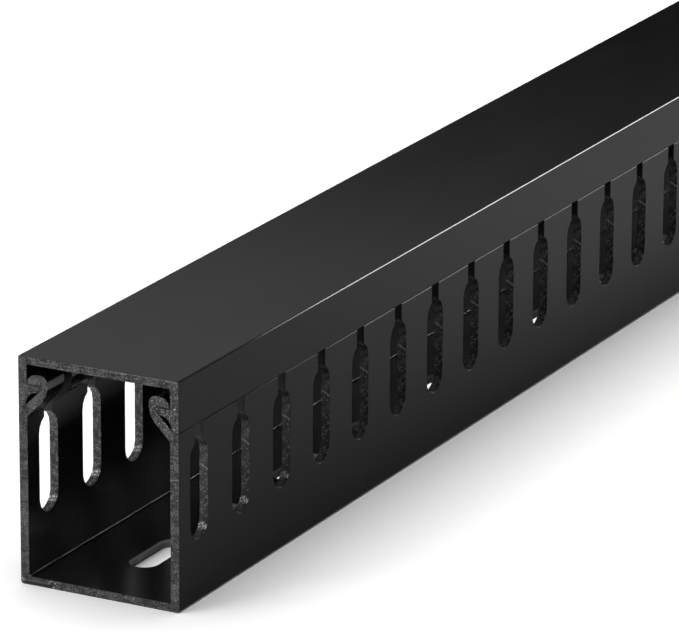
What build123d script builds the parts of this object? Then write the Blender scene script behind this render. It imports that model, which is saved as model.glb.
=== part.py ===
from build123d import *
import os
from math import ceil, copysign, cos, floor, radians, tan

# Slotted wire duct: a punched PVC channel with hooked lips, and the cover that snaps under them.
# X runs along the duct, Y across it and Z up. The origin is the middle of the base's underside.
# The section is drawn in depth from the wall's outer face and height above the base's underside.

# Overall sizes of the channel, in millimetres
LENGTH = 500.0
WIDTH = 40.0
WALL = 2.1
BASE = 1.95
OUTER_CORNER_R = 0.7
INNER_CORNER_R = 0.5

# Shoulder that the cover's skirt stands over, and the lip that leans in from it
SHOULDER_HEIGHT = 41.1
SHOULDER_DEPTH = 1.1
STRUT_ANGLE = 45.0
LIP_RISE = 7.95
LIP_REACH = 7.3
NOSE_HEIGHT = 2.4
NOSE_TOP_R = 2.3
POCKET_R = 1.0
BEND_R = 1.7
BACK_R = 5.0
THROAT_R = 1.0
CHORD_TURN = 30.0

# Cover: a flat top, a skirt over each shoulder and a barb in each lip's pocket
COVER_TOP = 1.85
SKIRT = 2.05
CROWN_GAP = 2.1
TOP_EDGE_R = 0.4
UNDER_EDGE_R = 0.3
BARB_REACH = 4.7
HOLLOW_DEPTH = 1.75
HOLLOW_R = 2.9
SNAP_FIT = 0.15

# Side slots: a round-ended slot with a narrow neck that opens through the lip
SLOT_PITCH = 18.9
SLOT_WIDTH = 8.0
SLOT_SILL = 14.5
SLOT_TOP = 37.4
HEAD_SIDES = 16
NECK_WIDTH = 3.4
FIRST_SLOT = 5.0
END_LAND = 4.0

# Holes in the base: round-ended mounting slots and round holes in turn, along the middle
MOUNT_PITCH = 33.1
MOUNT_WIDTH = 7.0
MOUNT_LENGTH = 19.8
FIRST_MOUNT = 26.3

slope = tan(radians(STRUT_ANGLE))
start = -LENGTH / 2
lip_top = SHOULDER_HEIGHT + LIP_RISE
lip_under = lip_top - NOSE_HEIGHT
nose_depth = SKIRT + SNAP_FIT
cover_under = lip_top + CROWN_GAP
cover_height = cover_under + COVER_TOP


def lean_height(depth, thickness=0.0):
    """Height of the lip's leaning outer side at a depth, or of a line that much above it."""
    lift = thickness / cos(radians(STRUT_ANGLE))
    return SHOULDER_HEIGHT + (depth - SHOULDER_DEPTH) * slope + lift


def lean_depth(height, thickness=0.0):
    """Depth at which the lip's leaning side, or a line above it, reaches a height."""
    lift = thickness / cos(radians(STRUT_ANGLE))
    return SHOULDER_DEPTH + (height - SHOULDER_HEIGHT - lift) / slope


def both_sides(corners):
    """One side's corners (depth, height, radius) and their mirror image, as a closed ring."""
    left = [(Vector(depth - WIDTH / 2, height), radius) for depth, height, radius in corners]
    right = [(Vector(-corner.X, corner.Y), radius) for corner, radius in reversed(left)]
    return left + right


def chords(before, corner, after, radius):
    """Points that round a corner off with chords that turn at most CHORD_TURN degrees each."""
    if radius == 0:
        return [corner]
    heading = (corner - before).normalized()
    turn = heading.get_signed_angle(after - corner, Vector(0, 0, 1))
    inward = heading.rotate(Axis.Z, copysign(90, turn)) * radius
    centre = corner - heading * radius * tan(radians(abs(turn) / 2)) + inward
    steps = ceil(abs(turn) / CHORD_TURN)
    return [centre - inward.rotate(Axis.Z, turn * i / steps) for i in range(steps + 1)]


def channel_section():
    """The channel's extruded section: base, walls, shoulders and hooked lips.

    The lips come again at every finger, so their bends are a few flat chords each. The base's
    corners run the whole length, and stay round.
    """
    ring = both_sides(
        [
            (WALL, BASE, INNER_CORNER_R),
            (WALL, lean_height(WALL, -WALL), THROAT_R),
            (LIP_REACH, lean_height(LIP_REACH, -WALL), BACK_R),
            (LIP_REACH, lip_top, BEND_R),
            (nose_depth, lip_top, NOSE_TOP_R),
            (nose_depth, lip_under, 0),
            (lean_depth(lip_under), lip_under, POCKET_R),
            (SHOULDER_DEPTH, SHOULDER_HEIGHT, 0),
            (0, SHOULDER_HEIGHT, 0),
            (0, 0, OUTER_CORNER_R),
        ]
    )
    corners = [corner for corner, radius in ring]
    befores = corners[-1:] + corners[:-1]
    afters = corners[1:] + corners[:1]
    points = []
    radii = []
    for before, (corner, radius), after in zip(befores, ring, afters):
        round_bend = corner.Y < SLOT_SILL
        bend = [corner] if round_bend else chords(before, corner, after, radius)
        points += bend
        radii += [radius if round_bend else 0] * len(bend)
    return make_face(FilletPolyline(*points, radius=radii, close=True))


def cover_section():
    """The cover's extruded section: top, skirts and the barbs that fill the lips' pockets."""
    barb_top = lip_under - SNAP_FIT
    skirt_foot = SHOULDER_HEIGHT + SNAP_FIT
    ring = both_sides(
        [
            (0, cover_height, TOP_EDGE_R),
            (0, skirt_foot, 0),
            (lean_depth(skirt_foot, SNAP_FIT), skirt_foot, 0),
            (HOLLOW_DEPTH, lean_height(HOLLOW_DEPTH, SNAP_FIT), 0),
            (HOLLOW_DEPTH, lean_height(BARB_REACH, SNAP_FIT), HOLLOW_R),
            (BARB_REACH, lean_height(BARB_REACH, SNAP_FIT), 0),
            (lean_depth(barb_top, SNAP_FIT), barb_top, POCKET_R - SNAP_FIT),
            (SKIRT, barb_top, 0),
            (SKIRT, cover_under, UNDER_EDGE_R),
        ]
    )
    corners = [corner for corner, radius in ring]
    radii = [radius for corner, radius in ring]
    return make_face(FilletPolyline(*corners, radius=radii, close=True))


def places(first, pitch, half_length):
    """Middles of a row of holes from the sawn start, as many as fit before the far end."""
    room = LENGTH - END_LAND - first - half_length
    return [start + first + pitch * i for i in range(floor(room / pitch) + 1)]


def side_slot():
    """One slot and its neck, seen from the side: a round foot, and chords where it narrows."""
    foot_middle = SLOT_SILL + SLOT_WIDTH / 2
    head_middle = SLOT_TOP - SLOT_WIDTH / 2
    straight = head_middle - foot_middle
    foot = Pos(0, foot_middle) * Circle(SLOT_WIDTH / 2)
    sides = Pos(0, foot_middle + straight / 2) * Rectangle(SLOT_WIDTH, straight)
    head = Pos(0, head_middle) * RegularPolygon(SLOT_WIDTH / 2, HEAD_SIDES)
    neck_height = cover_under - head_middle
    neck = Pos(0, head_middle + neck_height / 2) * Rectangle(NECK_WIDTH, neck_height)
    return foot + sides + head + neck


def side_punch():
    """Every side slot, cut straight through both walls."""
    row = places(FIRST_SLOT + SLOT_WIDTH / 2, SLOT_PITCH, SLOT_WIDTH / 2)
    outlines = [Plane.XZ * (Pos(x, 0) * side_slot()) for x in row]
    return [extrude(outline, WIDTH, both=True) for outline in outlines]


def base_punch():
    """The mounting slots and, between them, the round holes."""
    row = places(FIRST_MOUNT, MOUNT_PITCH, MOUNT_LENGTH / 2)
    slot = SlotOverall(MOUNT_LENGTH, MOUNT_WIDTH)
    hole = Circle(MOUNT_WIDTH / 2)
    shapes = [Pos(x, 0) * (hole if i % 2 else slot) for i, x in enumerate(row)]
    return [extrude(shape, BASE * 2, both=True) for shape in shapes]


def duct_channel():
    stock = extrude(Plane.YZ.offset(start) * channel_section(), LENGTH)
    return stock - side_punch() - base_punch()


def snap_cover():
    return extrude(Plane.YZ.offset(start) * cover_section(), LENGTH)


os.makedirs("parts", exist_ok=True)
export_step(duct_channel(), "parts/duct_channel.step")
export_step(snap_cover(), "parts/snap_cover.step")
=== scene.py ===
# %% [markdown]
# # Slotted wire duct, finished and lit
#
# A slotted wire duct is a length of black PVC channel with finger walls, and a cover that snaps
# under the hooks along the top of those walls. Electricians lay wires in it and lead them out
# between the fingers. The channel and the cover come in as a finished CAD model, at their real
# size. This lesson gives them the surfaces of the real material, then builds a small studio.
#
# A black part shows how it was made in two ways only: where its surface changes, and what it
# mirrors. So the lesson spends its effort on three kinds of surface, the extruded skin, the sawn
# ends and the punched slots, and on what stands round the duct to be mirrored in it.

import math

import bpy
from mathutils import Matrix, Vector


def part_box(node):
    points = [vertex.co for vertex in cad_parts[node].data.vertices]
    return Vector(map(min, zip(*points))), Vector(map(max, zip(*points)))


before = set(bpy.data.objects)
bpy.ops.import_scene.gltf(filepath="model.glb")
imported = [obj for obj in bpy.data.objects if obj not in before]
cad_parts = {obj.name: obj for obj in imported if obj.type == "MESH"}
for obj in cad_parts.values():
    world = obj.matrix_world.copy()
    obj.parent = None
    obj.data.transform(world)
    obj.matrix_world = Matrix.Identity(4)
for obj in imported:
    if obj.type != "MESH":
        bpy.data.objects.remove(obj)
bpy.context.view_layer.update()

# %% [markdown]
# ## Where things are on the duct
#
# X runs along the duct, Y across it and Z up, and the floor is at Z = 0. The masks below ask
# questions such as "is this point on a sawn end?", so they need the places of the saw cuts, the
# slots and the holes. The overall sizes are read from the model, so they can't disagree with it.
# The pattern of the slots is written here in millimetres, the unit that the duct is sold in.

# %% Sizes in millimetres
MM = 0.001
channel_low, channel_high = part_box("duct_channel")
cover_low, cover_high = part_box("snap_cover")
HALF_LENGTH = channel_high.x / MM
HALF_WIDTH = channel_high.y / MM
COVER_TOP = cover_high.z / MM

WALL = 2.1
BASE = 1.95
SLOT_PITCH = 18.9
SLOT_SILL = 14.5
SLOT_TOP = 37.4
WALL_TOP = 40.5
SHOULDER_HEIGHT = 41.1
FIRST_SLOT_MIDDLE = 9.0 - HALF_LENGTH
MOUNT_HALF_WIDTH = 3.5
print("duct %.0f x %.0f x %.0f mm" % (2 * HALF_LENGTH, 2 * HALF_WIDTH, COVER_TOP))

# %% [markdown]
# ## The camera
#
# The camera stands before the sawn end and to the right, a little above the duct, with a long
# lens: the duct's long edges hardly converge. A long lens far away shows the section almost
# undistorted. The camera is placed by turning it about Z, tipping it down from level, and then
# rolling it a fraction of a degree about its own line of sight.

# %% Camera
CAMERA_PLACE = Vector((-1.2492, -0.5836, 0.4384))
CAMERA_TURN = math.radians(-62.301)
CAMERA_DIP = math.radians(17.944)
CAMERA_ROLL = math.radians(0.239)
CAMERA_LENS = 298.86

camera_data = bpy.data.cameras.new("long_lens")
camera_data.sensor_width = 36.0
camera_data.lens = CAMERA_LENS
camera_data.clip_start = 0.01
camera_data.clip_end = 50.0
camera = bpy.data.objects.new("long_lens", camera_data)
turned = Matrix.Rotation(CAMERA_TURN, 4, "Z") @ Matrix.Rotation(math.pi / 2 - CAMERA_DIP, 4, "X")
rolled = turned @ Matrix.Rotation(CAMERA_ROLL, 4, "Z")
camera.matrix_world = Matrix.Translation(CAMERA_PLACE) @ rolled
bpy.context.scene.collection.objects.link(camera)
bpy.context.scene.camera = camera
print("camera %.2f m from the sawn end" % (CAMERA_PLACE - Vector((channel_low.x, 0, 0))).length)

# %% [markdown]
# ## Shader maths that reads as maths
#
# A material in Blender is a graph of nodes, and a graph is hard to read as text. This small class
# holds one output socket. Its operators add the Math nodes, so that a mask can be written as
# `(height > 10) * (height < 20)`. Every other node comes from its one method `node`, which takes
# the node's type, its settings and what goes into its sockets.


# %% A wire of the node graph
class Wire:
    """One output socket of a material, on which + - * and comparisons add Math nodes."""

    def __init__(self, socket):
        self.socket = socket
        self.tree = socket.id_data

    def node(self, kind, settings=None, inputs=None, output=0):
        """Add a node: its settings first, then the values or wires of its sockets."""
        node = self.tree.nodes.new(kind)
        for name, value in (settings or {}).items():
            setattr(node, name, value)
        for name, value in (inputs or {}).items():
            if isinstance(value, Wire):
                self.tree.links.new(value.socket, node.inputs[name])
            else:
                node.inputs[name].default_value = value
        return Wire(node.outputs[output]) if node.outputs else None

    def math(self, operation, *values):
        return self.node("ShaderNodeMath", {"operation": operation}, dict(enumerate(values)))

    def __add__(self, other):
        return self.math("ADD", self, other)

    def __sub__(self, other):
        return self.math("SUBTRACT", self, other)

    def __rsub__(self, other):
        return self.math("SUBTRACT", other, self)

    def __mul__(self, other):
        return self.math("MULTIPLY", self, other)

    def __gt__(self, other):
        return self.math("GREATER_THAN", self, other)

    def __lt__(self, other):
        return self.math("LESS_THAN", self, other)

    def __abs__(self):
        return self.math("ABSOLUTE", self)

    __radd__ = __add__
    __rmul__ = __mul__

    def larger(self, other):
        return self.math("MAXIMUM", self, other)

    def wrapped(self, low, high):
        """The value carried round and round between low and high, as a pattern repeats."""
        return self.math("WRAP", self, high, low)

    def fade(self, start, end):
        """0 before start, 1 after end and a smooth way between. Start may be above end."""
        settings = {"interpolation_type": "SMOOTHSTEP"}
        inputs = {0: self, 1: start, 2: end, 3: 0.0, 4: 1.0}
        return self.node("ShaderNodeMapRange", settings, inputs)

    def near(self, place, reach, core=0.1):
        """1 within core of a place, 0 beyond reach of it: a soft line in a mask."""
        return abs(self - place).fade(reach, core)

    def within(self, low, high):
        """1 where the value lies between low and high, and 0 elsewhere."""
        return (self > low) * (self < high)

    def between(self, low, high):
        """low where this mask is 0, and high where it is 1."""
        return (high - low) * self + low

    def parts(self):
        """The X, Y and Z of a vector, as three wires."""
        x = self.node("ShaderNodeSeparateXYZ", None, {0: self})
        return [Wire(socket) for socket in x.socket.node.outputs]

    def stretched(self, x, y, z):
        """The vector with its parts multiplied, which stretches any pattern laid on it."""
        return self.node("ShaderNodeVectorMath", {"operation": "MULTIPLY"}, {0: self, 1: (x, y, z)})

    def noise(self, size, detail=2.0, roughness=0.5):
        """Soft random spots of about this size, from 0 to 1 with most near one half."""
        inputs = {"Vector": self, "Scale": 1.0 / size, "Detail": detail, "Roughness": roughness}
        return self.node("ShaderNodeTexNoise", None, inputs)

    def tinted(self, tint=(1.0, 1.0, 1.0)):
        """A colour: this tone in the tint's hue. Scaling a vector keeps all three channels."""
        return self.node("ShaderNodeVectorMath", {"operation": "SCALE"}, {0: tint, "Scale": self})


print("a Wire adds nodes as maths is written")

# %% [markdown]
# ## Which surface is where
#
# One extruded length shows three surfaces. The skin is smooth, because it slid out of a polished
# die. The ends are sawn, and sawing drags grey, grainy tracks over black plastic. The slots and
# holes are punched, and a punch tears the last part of its way through, so those walls are grainy
# too, and lighter than the skin.
#
# Each could be given its own material by picking faces, but then a change to the model would lose
# them. Here the three are told apart by place and by the way that the surface faces. A sawn face
# looks along X at the very ends. A punched side slot faces anywhere but along Y, within the wall.
# A punched hole in the base faces sideways, low in the middle. Object coordinates are used, so the
# finish stays with the part when the cover slides.

# %% Masks for the sawn and the punched faces
SQUARE_ON = 0.9
EDGE_ON = 0.3
TOUCH = 0.05
SLACK = 0.1
INNER_FACE = HALF_WIDTH - WALL + 0.07
NECK_FOOT = SLOT_TOP - 0.5
MOUNT_REACH = MOUNT_HALF_WIDTH + 0.3
UNDER_COVER = COVER_TOP - 1.0


def begin(name):
    """A new empty material, its coordinates in millimetres and its surface directions."""
    material = bpy.data.materials.new(name)
    material.use_nodes = True
    material.node_tree.nodes.clear()
    coordinates = material.node_tree.nodes.new("ShaderNodeTexCoord")
    place = Wire(coordinates.outputs["Object"]).stretched(1 / MM, 1 / MM, 1 / MM)
    return material, place, Wire(coordinates.outputs["Normal"])


def cut_masks(place, facing):
    """Masks that are 1 on sawn ends, 1 on punched walls, and 1 on the skin of the inside."""
    x, y, z = place.parts()
    face_x, face_y, face_z = [abs(part) for part in facing.parts()]
    along = abs(x) < HALF_LENGTH - TOUCH
    sawn = (face_x > SQUARE_ON) * (1 - along)
    in_wall = (abs(y) > HALF_WIDTH - WALL - SLACK) * z.within(SLOT_SILL - SLACK, SLOT_TOP + SLACK)
    slot = in_wall * (face_y < EDGE_ON)
    neck = (face_x > SQUARE_ON) * (z > NECK_FOOT)
    in_base = (abs(y) < MOUNT_REACH) * (z < BASE + TOUCH)
    hole = in_base * (face_z < EDGE_ON)
    inside = (abs(y) < INNER_FACE) * z.within(BASE - TOUCH, UNDER_COVER)
    return sawn, slot.larger(neck).larger(hole) * along, inside


print("saw cuts at X = -%.0f and %.0f mm" % (HALF_LENGTH, HALF_LENGTH))

# %% [markdown]
# ## The extruded skin
#
# Extruded PVC is smooth, and only faintly marked along its length by the lips of the die. Two
# things would look wrong here: a mirror, and an even plastic. So the roughness is a satin 0.2,
# raised and lowered a little by long streaks and by broad, hazy patches. The streaks are ordinary
# noise whose coordinates are squeezed along X, which draws each spot out into a line.
#
# The outside slid along the sizing tool that cools the profile to its width. The inside touched
# nothing while it cooled, and is a shade rougher. So there are two skins, and a mask chooses between
# them. Inside, the walls also lean out a little below the lips. Moving the mesh for that isn't worth
# it: a slope in the Bump node's height tilts the surface's direction enough to show it.

# %% Skin
SKIN_TONE = 0.007
SKIN_ROUGHNESS = 0.2
SKIN_GLOSS = 0.5
INNER_ROUGHNESS_MORE = 0.02
STREAK_SIZE = 0.5
STREAK_SQUEEZE = 0.003
STREAK_HEIGHT = 0.0006
HAZE_SIZE = 16.0
HAZE_SQUEEZE = 0.4
WALL_BOW = -0.1
BOW_START = 29.0
BOW_END = 41.0


def skin_finish(place):
    """Tone, roughness and height in millimetres of the extruded skin."""
    x, y, z = place.parts()
    streaks = place.stretched(STREAK_SQUEEZE, 1.0, 1.0).noise(STREAK_SIZE)
    haze = place.stretched(HAZE_SQUEEZE, 1.0, 1.0).noise(HAZE_SIZE)
    tone = SKIN_TONE * haze.between(0.8, 1.2)
    roughness = SKIN_ROUGHNESS + streaks.between(-0.025, 0.025) + haze.between(-0.03, 0.03)
    bow = (z - BOW_START) * z.fade(BOW_START, BOW_END) * WALL_BOW * (z < WALL_TOP)
    height = (streaks - 0.5) * STREAK_HEIGHT + bow * (abs(y) < HALF_WIDTH - WALL / 2)
    return tone, roughness, height


print("skin roughness %.2f, of a satin" % SKIN_ROUGHNESS)

# %% [markdown]
# ## The sawn ends
#
# A saw tears PVC rather than slicing it. The face turns a dusty grey, with grains of half a
# millimetre, faint tracks where the teeth went across, and a few white flecks of swarf. Grains and
# tracks are again noise, once round and once squeezed along the saw's way. The same noise drives
# the tone and the height, because it is the grains that stand up that look pale.
#
# Three marks belong to this one duct. The saw left a burr at the foot of the left wall: a rubbed,
# darker strip, painted darker still below its ridge as painted shade, a ridge along it, and a curl
# where it stops, painted pale with the wall's outer corner as a painted highlight. Something
# scratched the right wall. And the gap between the cover's barb and the lip is painted as a thin
# dark line of shade. Each is a mask made of soft lines, which costs nothing in the mesh. The masks
# go by Y and Z alone, so the far end, which the photograph doesn't show, has the same marks.

# %% Saw marks
SAWN_TONE = 0.05
SAWN_ROUGHNESS = 0.6
GRAIN = 0.5
PATCH = 2.5
GRAIN_SHARE, TRACK_SHARE, PATCH_SHARE = 0.7, 0.25, 0.45
MIDDLE_LIGHTNESS = 0.4
DARKEST = 0.05
FLECK_TONE, RIM_HIGHLIGHT_TONE, SCRATCH_TONE = 8.0, 1.6, 2.5
RIDGE_TONE, CURL_GLINT_TONE = 1.6, 9.0
RIM = 0.22
RIM_FADE = (10.0, 4.0)
COVER_THICKNESS = 1.85
SCRATCH_HEIGHT, SCRATCH_SLOPE = 27.25, 0.175
BURR_INNER = 12.0
BURR_RIDGE = 1.0
CURL_RADIUS_SQUARED = 0.5
LIP_BAND_TOP = COVER_TOP - 3.0
GRAIN_HEIGHT, TRACK_HEIGHT, RIDGE_HEIGHT, CURL_HEIGHT = 0.08, 0.04, 0.15, 0.2


def saw_burr(y, z, grains):
    """Masks at the foot of the left wall: rubbed face with painted shade below the ridge, the ridge
    over it, and the painted highlight of its curled end and outer corner.
    """
    low = (z < BASE) * (y > 0)
    aside = (y - BURR_INNER) * 0.8
    up = z - BURR_RIDGE
    ring = (aside * aside + up * up).near(CURL_RADIUS_SQUARED, 0.3)
    # Painted highlight: the curl, and the wall's outer corner beside it, are painted pale.
    curl_glint = ring * grains.fade(0.2, 0.7) * low * (up > -0.1).larger(aside < 0)
    # Rubbed face, and below the ridge painted shade that makes it darker still.
    rubbed_and_shaded = y.fade(BURR_INNER - 0.4, BURR_INNER + 0.6) * low * (z < BURR_RIDGE).between(0.5, 0.9)
    ridge = up.near(0.0, 0.3) * y.fade(BURR_INNER, BURR_INNER + 1.5) * low
    outer_corner_glint = (abs(y - HALF_WIDTH + 0.5) + abs(up) * 0.6).fade(0.7, 0.2) * grains * low
    return rubbed_and_shaded, ridge, curl_glint.larger(outer_corner_glint * 0.7)


print("burr from Y = %.0f mm to the left wall" % BURR_INNER)

# %% The gap of the snap fit, seen end on
POCKET_HEIGHT = 46.57
LEAN_HEIGHT = 40.11
OVER_BARB = (2.1, 5.9)
BEHIND_BARB = (4.7, 6.1)
GAP_SHADE = 0.85


def snap_gap(y, z):
    """1 along the narrow gap between the cover's barb and the lip's pocket, where shade is painted.
    """
    depth = HALF_WIDTH - abs(y)
    over = z.near(POCKET_HEIGHT, 0.25) * depth.within(*OVER_BARB)
    behind = (z - depth).near(LEAN_HEIGHT, 0.35, 0.15) * depth.within(*BEHIND_BARB)
    return over.larger(behind)


print("gap over the barb at Z = %.2f mm" % POCKET_HEIGHT)


# %% The whole sawn face
def sawn_finish(place):
    """Tone, roughness and height in millimetres of a sawn face."""
    x, y, z = place.parts()
    grains = place.noise(GRAIN, 2.0, 0.8).fade(0.4, 0.6)
    tracks = place.stretched(1.0, 0.1, 1.0).noise(GRAIN).fade(0.35, 0.65)
    patches = place.noise(PATCH, 3.0).fade(0.35, 0.65)
    flecks = place.stretched(1.0, 0.8, 1.3).noise(GRAIN).fade(0.64, 0.7)
    right_lip = z.within(WALL_TOP, LIP_BAND_TOP) * (y < -HALF_WIDTH / 2)
    torn = y.fade(HALF_WIDTH, HALF_WIDTH / 2).between(0.5, 1.0) + right_lip * 0.5
    lightness = (grains - 0.5) * torn * GRAIN_SHARE + (tracks - 0.5) * TRACK_SHARE
    lightness = lightness + (patches - 0.5) * PATCH_SHARE + MIDDLE_LIGHTNESS
    lightness = lightness.larger(DARKEST)
    rubbed_and_shaded, ridge, curl_glint = saw_burr(y, z, grains)
    # Painted highlight: a pale line along the top edge of the sawn face, over its middle and right.
    rim_highlight = (z > COVER_TOP - RIM) * y.fade(*RIM_FADE)
    scratch = (z + y * SCRATCH_SLOPE).near(SCRATCH_HEIGHT, 0.25) * (y < 0)
    marks = flecks * torn * FLECK_TONE + rim_highlight * RIM_HIGHLIGHT_TONE + scratch * SCRATCH_TONE
    # The top strip of the sawn face, where it crosses the cover's flat, is made darker.
    darker_cover_strip = (z > COVER_TOP - COVER_THICKNESS) * 0.2
    face = (lightness * 3.0 + marks - darker_cover_strip) * (1 - rubbed_and_shaded)
    burr_and_glint = ridge * RIDGE_TONE + curl_glint * CURL_GLINT_TONE
    # Painted shade: the snap fit's gap darkens the sawn face to a thin line.
    tone = SAWN_TONE * (face + burr_and_glint) * (1 - snap_gap(y, z) * GAP_SHADE)
    height = (grains * GRAIN_HEIGHT + tracks * TRACK_HEIGHT) * (1 - rubbed_and_shaded)
    height = height + ridge * RIDGE_HEIGHT + curl_glint * CURL_HEIGHT
    return tone, SAWN_ROUGHNESS - lightness * 0.25, height


print("sawn grains of %.1f mm" % GRAIN)

# %% [markdown]
# ## The punched walls
#
# A punch first shears the wall cleanly and then bursts through, so each slot's cut wall is smooth
# near the outside and torn towards the inside. All the slots come from the same punch, and a nick
# in its edge draws the same pale line in every one of them. Wrapping the coordinates round at the
# slots' pitch gives that for the price of one line. Small bright glints on the round foot are
# painted highlights of the key light, and only in the first three slots.
#
# The camera looks into the left wall's slots from inside the duct, so the cuts that it sees there
# are blotched with torn, pale plastic, and painted paler higher up as light from above. The holes
# in the base lie in deep shade and burst right through. Their walls are painted pale, as painted
# light, with a painted highlight part of the way down and a painted contact shadow at their foot.

# %% Punch marks
PUNCHED_TONE = 0.034
PUNCHED_ROUGHNESS = 0.42
PUNCH_GRAIN = 0.35
BLOTCH = 0.9
NICK_HEIGHT, NICK_SLOPE = 29.3, 0.52
PIT_HEIGHT, PIT_DEPTH = 24.3, 1.6
FOOT_GLINT_HEIGHT = 16.3
FOOT_GLINTS_END = FIRST_SLOT_MIDDLE + 2.5 * SLOT_PITCH
NICK_LIGHT, PIT_LIGHT, SPECK_LIGHT, FOOT_GLINT_LIGHT = 4.5, 2.5, 7.0, 18.0
TEAR_LIGHT = 2.6
PAINTED_LIGHT_RISE, TEAR_END = (23.0, 30.0), (36.5, 33.0)
HOLE_PAINTED_LIGHT = 16.0
HOLE_HIGHLIGHT_HEIGHT = 1.45


def inner_tear_and_light(slot_place, y, z, lightness, blotches):
    """Extra tone on the left wall's torn cuts, part of it painted light from above, and painted
    light, highlight and foot shadow on the cut walls of the base's holes.
    """
    blobs = slot_place.stretched(0.8, 0.8, 1.0).noise(BLOTCH).fade(0.52, 0.62)
    # Painted light: the left wall's cuts get paler higher up, and the extra tone fades out again
    # under the slot's top.
    left_wall = blobs * TEAR_LIGHT + z.fade(*PAINTED_LIGHT_RISE) * 0.4 - lightness * 0.5
    left_wall = left_wall * z.fade(*TEAR_END)
    # Painted light on the holes' walls, a painted highlight line and, at their foot, a painted
    # contact shadow.
    hole = z.near(HOLE_HIGHLIGHT_HEIGHT, 0.3) * 0.5 + blotches.between(0.6, 1.2)
    hole = hole * z.fade(0.02, 0.2) * HOLE_PAINTED_LIGHT
    return left_wall * (y > 0) * (z > BASE + SLACK) + hole * (z < BASE + SLACK)


def punched_finish(place, facing):
    """Tone, roughness and height in millimetres of a punched wall."""
    x, y, z = place.parts()
    depth = HALF_WIDTH - abs(y)
    marked = (facing.parts()[0] < -0.5) * (y < 0)
    in_slot = (x - FIRST_SLOT_MIDDLE).wrapped(-SLOT_PITCH / 2, SLOT_PITCH / 2)
    slot_place = place.node("ShaderNodeCombineXYZ", None, {0: in_slot, 1: y, 2: z})
    grains = slot_place.noise(PUNCH_GRAIN, 3.0, 0.7)
    blotches = slot_place.stretched(1.0, 1.0, 0.5).noise(BLOTCH)
    torn = (depth + blotches * 1.2).fade(0.9, 1.8)
    nick = z.near(NICK_HEIGHT + depth * NICK_SLOPE + (grains - 0.5) * 0.7, 0.3) * marked
    pit = (abs(z - PIT_HEIGHT) + abs(depth - PIT_DEPTH)).fade(0.45, 0.2) * marked
    lightness = (grains * 0.6 + blotches * 0.4).fade(0.42, 0.58)
    specks = grains.fade(0.55, 0.63) * blotches.fade(0.42, 0.55)
    # Painted highlight: small bright glints on the round foot, in the first three slots only.
    foot_glints = grains.fade(0.48, 0.58) * z.near(FOOT_GLINT_HEIGHT, 0.9, 0.3) * (in_slot > 0)
    foot_glints = foot_glints * x.fade(FOOT_GLINTS_END, FOOT_GLINTS_END - SLOT_PITCH / 2)
    marks = nick * NICK_LIGHT + pit * PIT_LIGHT + specks * SPECK_LIGHT + foot_glints * FOOT_GLINT_LIGHT
    tear_and_light = inner_tear_and_light(slot_place, y, z, lightness, blotches)
    tone = PUNCHED_TONE * (lightness + torn * 0.2 + marks + tear_and_light) * (z < SLOT_TOP)
    height = (grains - 0.5) * 0.08 * (0.5 + torn) + (blotches - 0.5) * 0.05 + nick * 0.08
    return tone, PUNCHED_ROUGHNESS - lightness * 0.12, height


print("the punch's nick at Z = %.1f mm in every slot" % NICK_HEIGHT)

# %% [markdown]
# ## Lines of light and of shade
#
# What tells the eye that the duct is two pieces is a few thin lines. The near top edge and the
# shoulder under the cover's skirt carry painted highlights: a metallic polish makes them bright
# lines, but only from some way in. At the sawn end both are painted dark and rougher, as painted
# shade. The inner bottom corners carry a painted highlight too, a thin pale line down the length.
# Each line could be a strip of mesh. A mask on the rounded edge that is already there is enough,
# with a metallic polish under it, because what a line this thin shows is a mirror image and no
# colour of its own. Polish is used sparingly: a wide band looks like chrome.
#
# The skin also carries painted highlights: under the left lip, where the wall leans out, and along
# the back of that lip near the sawn end.

# %% Masks of the painted edge highlights and shade
OUTER_BAND = 0.42
EDGE_BAND = 0.25
SHOULDER_BAND = 0.2
SHOULDER_FADE = (-214.0, -160.0)
EDGE_FADE = (-217.0, -175.0)
EDGE_SHADE_FADE = (-203.0, -226.0)
EDGE_SHADE_BAND = 0.36
SEAM_HEIGHT, SEAM_BAND = SHOULDER_HEIGHT + 0.1, 0.2
CORNER_SHINE_FADE = (0.455, 0.49)


def edge_highlights_and_shade(x, y, z):
    """Masks of the shoulder's painted glint, the top edge's painted highlight line, and the near
    edges' painted shade.
    """
    outer = abs(y) > HALF_WIDTH - OUTER_BAND
    shoulder = z.within(SHOULDER_HEIGHT - SHOULDER_BAND, SHOULDER_HEIGHT + 0.02)
    shoulder = shoulder * x.fade(*SHOULDER_FADE) * outer
    top_edge = (abs(y) > HALF_WIDTH - EDGE_BAND) * (z > COVER_TOP - EDGE_BAND)
    seam = abs(z - SEAM_HEIGHT) < SEAM_BAND
    edge_shade = outer * (z > COVER_TOP - EDGE_SHADE_BAND).larger(seam) * x.fade(*EDGE_SHADE_FADE)
    return shoulder, top_edge * x.fade(*EDGE_FADE), edge_shade


def corner_highlight(z, facing):
    """1 along the inner bottom corners, where the skin turns from the wall to the base, and a
    highlight is painted.

    Halfway round such a corner the direction's Y and Z are alike, and their product is 0.5.
    """
    face_x, face_y, face_z = facing.parts()
    return abs(face_y * face_z).fade(*CORNER_SHINE_FADE) * (z < BASE + 1.0)


print("bright edges from X = %.0f mm on" % EDGE_FADE[0])

# %% Painted highlights under and behind the left lip
UNDER_LIP_HIGHLIGHT = 0.095
UNDER_LIP_START = 31.5
UNDER_LIP_LENGTH = 14.0
LIP_BACK_HIGHLIGHT = 0.17
LIP_BACK = 46.8
LIP_BACK_FADE = (-205.0, -240.0)


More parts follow.
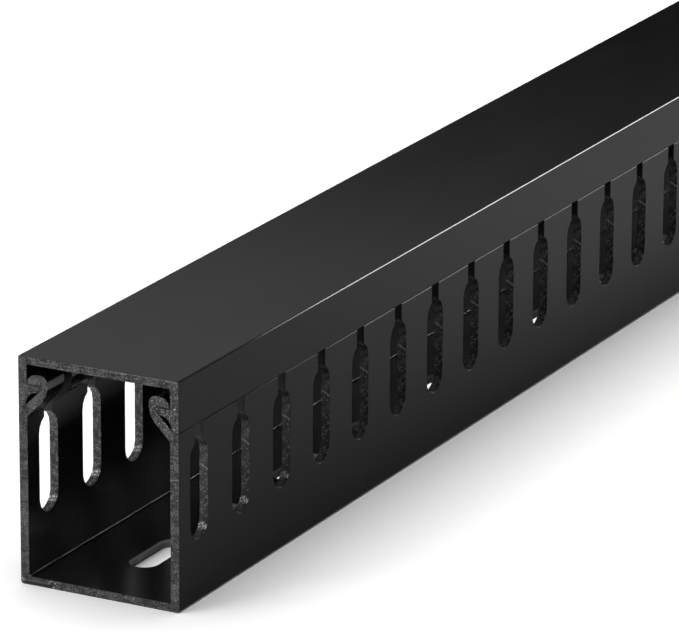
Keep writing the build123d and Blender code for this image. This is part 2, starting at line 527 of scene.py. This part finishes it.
def lip_highlights(x, y, z):
    """Painted highlights on the left side's skin below the lip, and along the lip's back near the
    sawn end.
    """
    under_lip = z.fade(UNDER_LIP_START, BOW_END) * (z < WALL_TOP) * (y > 0)
    under_lip = under_lip * x.fade(-HALF_LENGTH, -HALF_LENGTH + UNDER_LIP_LENGTH)
    lip_back = z.near(LIP_BACK, 1.1, 0.7) * (y > 0) * x.fade(*LIP_BACK_FADE)
    return under_lip * UNDER_LIP_HIGHLIGHT + lip_back * LIP_BACK_HIGHLIGHT


print("pale skin from Z = %.1f mm up to the lip" % UNDER_LIP_START)

# %% [markdown]
# ## From finish to material
#
# Each finish ends in a Principled surface, and masks choose between three of them: the outer skin,
# which also draws the painted edge shade, the inner skin, which also draws the painted edge
# highlights, and the dull, pale cuts. The cuts share a surface because they differ only in tone,
# roughness and relief. No moulded or cut edge is perfectly sharp, so a Bevel node rounds the
# surface's direction: over 0.3 mm on the skin, and over less than a tenth on the cuts, which a saw
# and a punch leave crisp.

# %% Surfaces
EDGE_ROUND = 0.3 * MM
CUT_ROUND = 0.08 * MM
CUT_GLOSS = 0.45
SHOULDER_HIGHLIGHT_TONE = 0.13
TOP_EDGE_HIGHLIGHT_TONE = 0.28
CORNER_SHINE_TONE = 1.0
EDGE_SHADE_DARKER, EDGE_SHADE_ROUGHER = 0.9, 0.6
INNER_FADE = (60.0, -120.0)
BLACK_TINT = (1.0, 1.0, 1.0)
CUT_TINT = (1.02, 1.0, 1.0)


def rounded_edges(place, radius):
    """The surface's direction, turned gently over this radius at each edge."""
    return place.node("ShaderNodeBevel", {"samples": 6}, {"Radius": radius})


def principled(tone, tint, roughness, height, gloss, rounded, metallic=0.0):
    """A surface with this tone, roughness, relief and strength of mirror image."""
    relief = {"Strength": 1.0, "Distance": MM, "Height": height, "Normal": rounded}
    inputs = {
        "Base Color": tone.tinted(tint),
        "Roughness": roughness,
        "Metallic": metallic,
        "Specular IOR Level": gloss,
        "Normal": tone.node("ShaderNodeBump", None, relief),
    }
    return tone.node("ShaderNodeBsdfPrincipled", None, inputs)


def chosen(mask, surface, other):
    """The surface where the mask is 0, and the other one where it is 1."""
    return mask.node("ShaderNodeMixShader", None, {0: mask, 1: surface, 2: other})


def skin_surface(place, facing, inside):
    """The outer skin, and the inner one where that mask is 1 or an edge carries a painted highlight.
    """
    x, y, z = place.parts()
    shoulder, top_edge, edge_shade = edge_highlights_and_shade(x, y, z)
    edge = shoulder.larger(top_edge)
    corner_shine = corner_highlight(z, facing) * inside
    rounded = rounded_edges(place, EDGE_ROUND)
    tone, roughness, height = skin_finish(place)
    # Painted shade on the near edges: darker and rougher.
    outer_tone = tone * (1 - edge_shade * EDGE_SHADE_DARKER)
    outer_roughness = roughness + edge_shade * EDGE_SHADE_ROUGHER
    outer = principled(outer_tone, BLACK_TINT, outer_roughness, height, SKIN_GLOSS, rounded)
    # Painted highlights: the inner bottom corners, and the left lip's skin.
    inner_tone = corner_shine.between(tone + lip_highlights(x, y, z), CORNER_SHINE_TONE)
    # Painted highlights on the shoulder and the top edge, with a metallic polish.
    inner_tone = top_edge.between(shoulder.between(inner_tone, SHOULDER_HIGHLIGHT_TONE), TOP_EDGE_HIGHLIGHT_TONE)
    inner_roughness = roughness + INNER_ROUGHNESS_MORE
    highlight_metallic = corner_shine.larger(edge)
    inner = principled(inner_tone, BLACK_TINT, inner_roughness, height, SKIN_GLOSS, rounded, highlight_metallic)
    share = inside * x.fade(*INNER_FADE).between(0.4, 1.0)
    return chosen(share.larger(edge), outer, inner)


def cut_surface(place, facing, punched):
    """The sawn finish, and the punched one where that mask is 1."""
    pairs = zip(sawn_finish(place), punched_finish(place, facing))
    tone, roughness, height = [punched.between(saw, punch) for saw, punch in pairs]
    rounded = rounded_edges(place, CUT_ROUND)
    return principled(tone, CUT_TINT, roughness, height, CUT_GLOSS, rounded)


print("edges rounded over %.1f mm, cuts over %.2f mm" % (EDGE_ROUND / MM, CUT_ROUND / MM))


# %% The duct's plastic, put on both pieces
def duct_pvc(name):
    """Black duct PVC with its skin, its sawn ends and its punched walls."""
    material, place, facing = begin(name)
    sawn, punched, inside = cut_masks(place, facing)
    skin = skin_surface(place, facing, inside)
    surface = chosen(sawn.larger(punched), skin, cut_surface(place, facing, punched))
    place.node("ShaderNodeOutputMaterial", None, {"Surface": surface})
    return material


for node_name, material_name in (("duct_channel", "channel_pvc"), ("snap_cover", "cover_pvc")):
    pvc = duct_pvc(material_name + "_finished")
    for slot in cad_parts[node_name].material_slots:
        slot.material = pvc
    print(node_name, "wears", pvc.name, "of", len(pvc.node_tree.nodes), "nodes")

# %% [markdown]
# ## The floor
#
# The duct lies on a plain white table that is large enough to fill the picture. It looks a little
# paler than its light makes it, to the camera and in mirror images, so that the background comes
# out white and still keeps the duct's shadow. More light would do that too, but would turn the
# black plastic grey.
#
# The upright wall mirrors the table beside it. A photographer keeps that image down with a dark
# card just outside the picture, which covers more at the sawn end than further on. Here the table
# itself is darker there where a mirror image sees it, which the Light Path node can tell. Through
# the base's holes the camera sees the table glow white, which is painted light, with a painted
# shadow where the hole's edge stands over it.

# %% Floor
FLOOR_SIZE = 12.0
FLOOR_SHOWN = 1.17
FLAG_DIM = 0.63
FLAG_STRENGTH = 0.5
FLAG_FADE = (130.0, -190.0)
PAPER_REACH = MOUNT_HALF_WIDTH + 2.0
PAPER_SHADE = 0.08
PAPER_RISE, PAPER_RISE_FADE = 0.42, (-0.6, 2.4)
PAPER_MORE, PAPER_MORE_FADE = 0.35, (2.0, 6.0)
FIRST_HOLE_FADE = (-206.0, -190.0)


def table_tone(x, y, in_view, in_mirror):
    """The table's tone, as the camera, mirror images and light on its way see it."""
    shown = in_view.larger(in_mirror).between(1.0, FLOOR_SHOWN)
    beside = (y < -HALF_WIDTH) * in_mirror
    flag = 1 - beside * x.fade(*FLAG_FADE) * FLAG_STRENGTH
    return flag * (1 - beside * (x > -HALF_LENGTH) * FLAG_DIM) * shown


def paper_glow_tone(x, y):
    """Painted light under the base's holes: a white glow, with a painted shadow along the holes' far
    edge at the first one.
    """
    from_edge = MOUNT_HALF_WIDTH - y
    tone = from_edge.fade(*PAPER_RISE_FADE) * PAPER_RISE + PAPER_SHADE
    tone = tone + from_edge.fade(*PAPER_MORE_FADE) * PAPER_MORE
    return tone.larger(x.fade(*FIRST_HOLE_FADE)) * from_edge.fade(0.1, 0.4)


material, place, facing = begin("white_table")
x, y, z = place.parts()
in_view = place.node("ShaderNodeLightPath")
in_mirror = place.node("ShaderNodeLightPath", output=3)
matt = {"Color": table_tone(x, y, in_view, in_mirror).tinted()}
# Painted light: the table glows white under the base, to the camera only.
paper_glow = {"Color": paper_glow_tone(x, y).tinted(), "Strength": 1.0}
under_base = (abs(x) < HALF_LENGTH) * (abs(y) < PAPER_REACH) * in_view
table = place.node("ShaderNodeBsdfDiffuse", None, matt)
surface = chosen(under_base, table, place.node("ShaderNodeEmission", None, paper_glow))
place.node("ShaderNodeOutputMaterial", None, {"Surface": surface})

half = FLOOR_SIZE / 2
corners = [(-half, -half, 0), (half, -half, 0), (half, half, 0), (-half, half, 0)]
floor_mesh = bpy.data.meshes.new("floor")
floor_mesh.from_pydata(corners, [], [(0, 1, 2, 3)])
floor_mesh.materials.append(material)
floor = bpy.data.objects.new("floor", floor_mesh)
bpy.context.scene.collection.objects.link(floor)
print("floor %.0f m wide" % FLOOR_SIZE)

# %% [markdown]
# ## The room
#
# The room round the table is a dim grey, and only fills the shadows. In mirror images it is darker
# still, because a bright room would be mirrored in every face and hide the shape of black plastic.
# Its ceiling and the wall behind the camera are pale there, which gives the duct something to
# mirror when it is looked at from above or from the far end.

# %% Room
ROOM_LIGHT = 0.17
MIRRORED_ROOM = 0.012
MIRRORED_CEILING = 0.35
MIRRORED_BEHIND = 0.35
CEILING_FADE = (0.6, 0.9)
BEHIND_FADE = (0.2, 0.9)
BEHIND_X, BEHIND_Y = -0.89, -0.46

room = bpy.data.worlds.new("dim_room")
room.use_nodes = True
background = room.node_tree.nodes["Background"]
light_path = room.node_tree.nodes.new("ShaderNodeLightPath")
in_mirror = Wire(light_path.outputs["Is Glossy Ray"])
coordinates = room.node_tree.nodes.new("ShaderNodeTexCoord")
way_x, way_y, way_z = Wire(coordinates.outputs["Generated"]).parts()
ceiling = way_z.fade(*CEILING_FADE) * MIRRORED_CEILING
behind = (way_x * BEHIND_X + way_y * BEHIND_Y).fade(*BEHIND_FADE) * MIRRORED_BEHIND
room_tone = in_mirror.between(ROOM_LIGHT, ceiling + behind + MIRRORED_ROOM)
room.node_tree.links.new(room_tone.tinted().socket, background.inputs["Color"])
background.inputs["Strength"].default_value = 1.0
bpy.context.scene.world = room
print("room at %.2f of white" % ROOM_LIGHT)

# %% [markdown]
# ## The lamps
#
# A lamp is easier to think of as a share of white than in watts: how bright it alone would make a
# white card that faces it. A lamp of `P` watts at a distance `d` lights such a card to
# `P / (pi * d) ** 2`, so the function below works that sum backwards. That holds for a small lamp.
# One nearly as wide as it is far, as the first one here, gives about four fifths of its share, and
# a lamp that stands aside gives the floor less than one overhead. Worked out so, the two lamps and
# the room light the floor to about 1.0, and then colours render as they are written.
#
# The first lamp hangs over the duct and does most of the work. Mirror images don't see it, or the
# cover's top would be white from above. The key stands out from the sawn end, far to the left and
# beyond the duct. It lights the sawn face aslant, throws the short shadow along the visible wall,
# shines in at the open end onto the first slots, and sparkles on the round foot of each.

# %% Lamps
AIM = Vector((-0.1, 0.0, 0.03))


def softbox(name, turn, rise, distance, size, share):
    """A square lamp that looks at the duct from a direction, in degrees, and a distance."""
    data = bpy.data.lights.new(name, "AREA")
    data.shape = "SQUARE"
    data.size = size
    data.energy = share * (math.pi * distance) ** 2
    lamp = bpy.data.objects.new(name, data)
    turn, rise = math.radians(turn), math.radians(rise)
    flat = math.cos(rise)
    way = Vector((flat * math.cos(turn), flat * math.sin(turn), math.sin(rise)))
    lamp.location = AIM + way * distance
    lamp.rotation_euler = way.to_track_quat("Z", "Y").to_euler()
    bpy.context.scene.collection.objects.link(lamp)
    print("%s: a share of %.2f from %.1f m" % (name, share, distance))
    return lamp


overhead = softbox("overhead", turn=90, rise=84, distance=2.4, size=2.2, share=0.9)
overhead.visible_glossy = False
softbox("key", turn=145, rise=38, distance=3.0, size=1.2, share=0.22)

# %% [markdown]
# ## Cards for the mirror images
#
# Seen this low, the flat cover mirrors whatever stands behind it. In the photograph it runs from a
# mid grey at the sawn end to nearly black far off. A studio does that with a graded card: pale at
# one end, black at the other. Here that card stands behind the duct. Its shade slants, because a
# mirror image at the cover's near edge reaches the card further along and higher up than one at
# the far edge, and the near edge would otherwise fade sooner.
#
# A second, white card stands in front, past the right of the picture. The rounded long edges draw
# it out into a thin bright line, which starts where the card's leaning end comes into view. Its
# light also comes in through the slots, and two mirror images later it lifts the black of the
# inside. Only mirror images see the cards, so they neither show in the picture nor light anything.
# Both were placed for the picture's own side. Seen low from behind, the cover's flat top mirrors
# the white card instead, and part of it looks white.

# %% Cards
BACK_CARD = {"left": -1.0, "right": 2.6, "y": 0.3, "low": 0.0, "high": 0.6, "lean": 0.0}
BACK_CARD_TONE = 0.285
FADE_SLANT = 2.9
FADE_START, FADE_END = -0.2, -0.38
FRONT_CARD = {"left": 0.56, "right": 2.4, "y": -0.6, "low": 0.12, "high": 1.0, "lean": 0.84}
FRONT_CARD_TONE = 4.5


def mirror_card(name, tone_at, left, right, y, low, high, lean):
    """An upright card along X, its left edge leaning, that only mirror images can see."""
    top_left = left + lean * (high - low)
    corners = [(left, y, low), (right, y, low), (right, y, high), (top_left, y, high)]
    mesh = bpy.data.meshes.new(name)
    mesh.from_pydata(corners, [], [(0, 1, 2, 3)])
    card = bpy.data.objects.new(name, mesh)
    bpy.context.scene.collection.objects.link(card)
    material, spot, facing = begin(name)
    glow = {"Color": tone_at(spot).tinted(), "Strength": 1.0}
    emission = spot.node("ShaderNodeEmission", None, glow)
    spot.node("ShaderNodeOutputMaterial", None, {"Surface": emission})
    mesh.materials.append(material)
    card.visible_camera = False
    card.visible_diffuse = False
    card.visible_shadow = False
    card.visible_transmission = False
    print(name, "stands at Y = %.1f m" % y)


def graded(spot):
    """Pale at the left and high up, black at the right and low down."""
    x, y, z = spot.parts()
    return (x - z * FADE_SLANT).fade(FADE_START / MM, FADE_END / MM) * BACK_CARD_TONE


def even(spot):
    """The same tone all over the card."""
    x, y, z = spot.parts()
    return (z > 0.0) * FRONT_CARD_TONE


mirror_card("back_card", graded, **BACK_CARD)
mirror_card("front_card", even, **FRONT_CARD)

# %% [markdown]
# ## Closing the scene
#
# The view is set to show colours as they are written.

# %% Finish
bpy.context.scene.view_settings.view_transform = "Standard"
